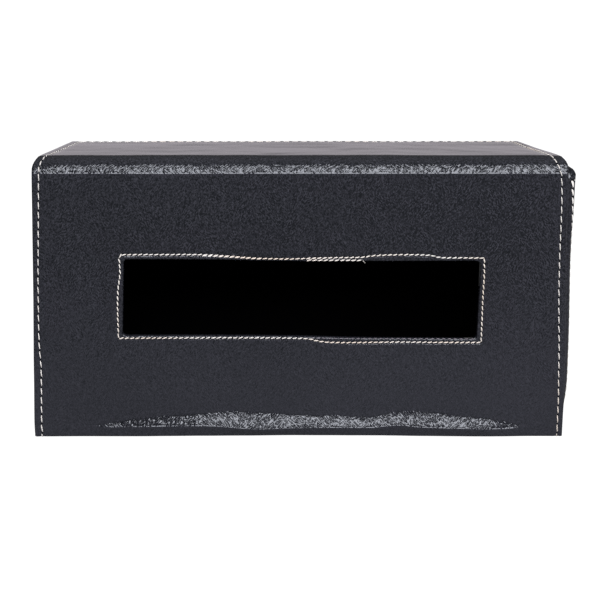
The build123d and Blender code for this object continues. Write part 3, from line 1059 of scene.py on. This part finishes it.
def softCover(node, axis, sign, seam=True, flat=False):  # returns its seam's runs and the way to place them
    low, high = nodeBox(node)
    across = [a for a in range(3) if a != axis]
    outer = high[axis] if sign > 0 else low[axis]
    bm = nodeMesh(node)
    for a in across:
        cutAcross(bm, a, fineLines(low[a], high[a]))

    def liftAt(point):
        edge = min(min(point[a] - low[a], high[a] - point[a]) for a in across)
        lift = padLift((point[across[0]], point[across[1]]), edge, axis * cover["seedStep"], seam)
        return min(lift - cover["pad"], 0) if flat else lift

    for vert in bm.verts:
        point = vert.co / mm
        if abs(point[axis] - outer) < cover["outerReach"]:
            point[axis] += sign * liftAt(point)
            vert.co = point * mm
    makePiece(pieceName(node), bm, leather, "box", [node])

    def place(co):  # (first way across, second way across, outward)
        point = Vector((0, 0, 0))
        point[across[0]], point[across[1]] = co[0], co[1]
        point[axis] = outer
        point[axis] += sign * (liftAt(point) + co[2])
        return point * mm

    return seamRuns(low, high, across), place


def seamRuns(low, high, across):  # four straight runs round a plate
    a, b = across
    margin = cover["seamMargin"]
    left, right = low[a] + margin, high[a] - margin
    foot, top = low[b] + margin, high[b] - margin
    corners = [(left, foot), (right, foot), (right, top), (left, top)]
    sides = zip(corners, corners[1:] + corners[:1])
    return [smoothRun([(*first, 0), (*second, 0)]) for first, second in sides]


def softPiece(node, material, body="box", shape=None, coarse=6.4, ripple=0.05):
    low, high = nodeBox(node)
    bm = nodeMesh(node)
    for axis in range(3):
        if high[axis] - low[axis] > lining["plainSide"]:
            cutAcross(bm, axis, evenLines(low[axis], high[axis], coarse, [])[1:-1])
    for vert in bm.verts:
        point = vert.co / mm
        if shape:
            point = shape(point)
        point += noise.noise_vector(point / lining["ripplePatch"]) * ripple
        vert.co = point * mm
    return makePiece(pieceName(node), bm, material, body, [node])


# Flap: shaped as it stands closed and then turned ajar, bowed, with soft shoulders that its seam runs along

flap = {
    # how far the flap bows outward, by height
    "bow": [
        (0, 0.5), (6, 1.5), (13, 2.8), (23, 3.6), (38, 3.2), (52, 2.6), (67, 1.75), (81, 0.95), (95, 0.45),
        (106, 0.6), (119, 0.3), (129, 0.2),
    ],
    "bowFade": 6.0,  # the bow grows over this height above the hinge
    "shoulder": 3.2,
    "shoulderLimit": 2.9,
    "shoulderFoot": 14.0,  # the shoulders fade out this far above the foot
    "shoulderTop": 8.0,  # and partly over this far below the top
    "shoulderKept": 0.25,  # share that is left at the top
    "topInner": 1.3,  # the top face falls from this far above the board at its inner edge
    "topOuter": -1.0,  # to this far below at its outer edge
    "topFade": 6.0,
    # the seam's distance from the front side, by height
    "seamSide": [(60, 3.5), (85, 3.2), (97, 2.0), (103, 1.1), (112, 0.65), (121, 0.35), (130, 0.3)],
    "seamRear": 3.4,
    "seamTop": 5.4,
    "seamFoot": 7.0,
    "seamPoints": range(12, 121, 4),  # heights
    "pad": 0.35,
    "padStart": 1.0,
    "padReach": 7.0,
    "padFoot": 4.0,
    "coarse": 3.0,
    "sideLines": (4.0, 0.4),  # reach and spacing
    "topLines": (8.0, 0.8),
}
joint = frame["joints"][0]
pivot = Vector(joint["pos_m"]) / mm
restAngle = -math.radians(joint["range_deg"][0])
flapTurn = Matrix.Translation(pivot) @ Matrix.Rotation(restAngle, 4, "Y") @ Matrix.Translation(-pivot)
flapUnturn = flapTurn.inverted()
flapClosed = [flapUnturn @ (vert.co / mm) for vert in frame["nodes"]["flap_cover"].data.vertices]
flapLow = Vector([min(point[axis] for point in flapClosed) for axis in range(3)])
flapHigh = Vector([max(point[axis] for point in flapClosed) for axis in range(3)])


def flapBow(z):
    return through(flap["bow"], z) * ease((z - pivot.z) / flap["bowFade"])


def flapShoulder(y, z):  # how far the outer face falls away towards its sides
    side = min(y - flapLow.y, flapHigh.y - y)
    radius = flap["shoulder"]
    if side >= radius:
        return 0.0
    fall = radius - math.sqrt(max(radius**2 - (radius - side) ** 2, 0))
    footShare = ease((z - flapLow.z) / flap["shoulderFoot"])
    topShare = ease(flap["shoulderKept"] + (flapHigh.z - z) / flap["shoulderTop"])
    return min(fall, flap["shoulderLimit"]) * (footShare * topShare)


def flapLift(y, z):
    edge = min(y - flapLow.y, flapHigh.y - y, flapHigh.z - z, z - flapLow.z - flap["padFoot"])
    return flap["pad"] * ease((edge - flap["padStart"]) / flap["padReach"]) - flapShoulder(y, z)


def flapShape(point):  # bows a piece of the flap
    point = flapUnturn @ point
    point.x += flapBow(point.z)
    return flapTurn @ point


def flapPlace(co):  # (towards the base, up, outward) on the outer face
    y, z, outward = co
    return (flapTurn @ Vector((flapHigh.x + flapBow(z) + flapLift(y, z) + outward, y, z))) * mm


def buildFlapCover():
    bm = nodeMesh("flap_cover")
    for vert in bm.verts:
        vert.co = (flapUnturn @ (vert.co / mm)) * mm
    sideReach, sideStep = flap["sideLines"]
    topReach, topStep = flap["topLines"]
    sides = [(flapLow.y, flapLow.y + sideReach, sideStep), (flapHigh.y - sideReach, flapHigh.y, sideStep)]
    cutAcross(bm, 1, evenLines(flapLow.y, flapHigh.y, flap["coarse"], sides)[1:-1])
    top = [(flapHigh.z - topReach, flapHigh.z, topStep)]
    cutAcross(bm, 2, evenLines(flapLow.z, flapHigh.z, flap["coarse"], top)[1:-1])
    for vert in bm.verts:
        point = vert.co / mm
        side = min(point.y - flapLow.y, flapHigh.y - point.y)
        share = (point.x - flapLow.x) / (flapHigh.x - flapLow.x)
        if point.x > flapHigh.x - cover["outerReach"]:
            point.x += flapLift(point.y, point.z)
        elif side < flap["shoulder"]:
            point.x = min(point.x, flapHigh.x - flapShoulder(point.y, point.z))
        slope = flap["topInner"] + (flap["topOuter"] - flap["topInner"]) * share
        point.x += flapBow(point.z)
        point.z += slope * ease((point.z - flapHigh.z) / flap["topFade"] + 1)
        vert.co = (flapTurn @ point) * mm
    makePiece("flapCover", bm, flapLeather, "flap", ["flap_cover"])


baseRuns, basePlace = softCover("base_cover", 1, 1)
softCover("bottom_cover", 2, -1, seam=False, flat=True)
leftEndRuns, leftEndPlace = softCover("left_end_cover", 0, -1)
buildFlapCover()
softPiece("flap_board", board, "flap", flapShape, ripple=0.0)
softPiece("flap_lining", flockAndShade, "flap", flapShape)
for node in ("wall_lining", "bottom_lining", "base_lining", "left_end_lining"):
    softPiece(node, flockAndShade)

# Slot facing, with a hole a little larger than the slot, so that the turned-in leather hides its edge

facing = {"larger": 1.6, "fade": 3.0}


def facingShape(point):
    for axis, low, high in ((0, slotLow.x, slotHigh.x), (2, slotLow.z, slotHigh.z)):
        point[axis] -= facing["larger"] * ease(1 - abs(point[axis] - low) / facing["fade"])
        point[axis] += facing["larger"] * ease(1 - abs(point[axis] - high) / facing["fade"])
    return point


softPiece("slot_facing", leather, "box", facingShape)
print("covers and linings made")

# Hinge strip, whose upright leg follows the flap's bow

strip = {"leg": 13.0, "legFade": 4.0}
stripLow, stripHigh = nodeBox("hinge_strip")


def stripShape(point):
    point.x += flapBow(point.z) * ease((point.z - stripHigh.z + strip["leg"]) / strip["legFade"])
    return point


hingeStrip = softPiece("hinge_strip", leather, None, stripShape, coarse=1.0, ripple=0.04)
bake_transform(hingeStrip)
print("hinge strip made")

stitchRow("base", baseRuns, edgeStitch, basePlace)
stitchRow("leftEnd", leftEndRuns, edgeStitch, leftEndPlace)
seamHeights = [flapLow.z + flap["seamFoot"], *flap["seamPoints"], flapHigh.z - flap["seamTop"]]
frontSeam = [(flapLow.y + through(flap["seamSide"], z), z, 0) for z in seamHeights]
rearSeam = [(flapHigh.y - flap["seamRear"], z, 0) for z in reversed(seamHeights)]
flapRuns = [
    smoothRun(frontSeam),
    smoothRun([frontSeam[-1], rearSeam[0]]),
    smoothRun(rearSeam),
    smoothRun([rearSeam[-1], frontSeam[0]]),
]
stitchRow("flap", flapRuns, flapStitch, flapPlace, "flap")
print("stitches on the covers made")

# Pieces that keep their CAD mesh

finishes = [
    (board, ["top_board", "front_board", "fold_strip", "bottom_board", "base_board", "left_end_board"]),
    (wood, ["stop_rail"]),
    (nickel, ["rail_magnet"]),
    (steel, ["flap_keeper"]),
]
for material, nodes in finishes:
    for node in nodes:
        data = frame["nodes"][node].data
        data.materials.clear()
        data.materials.append(material)
print("boards and inner parts finished")

bpy.context.scene.view_settings.view_transform = "Standard"
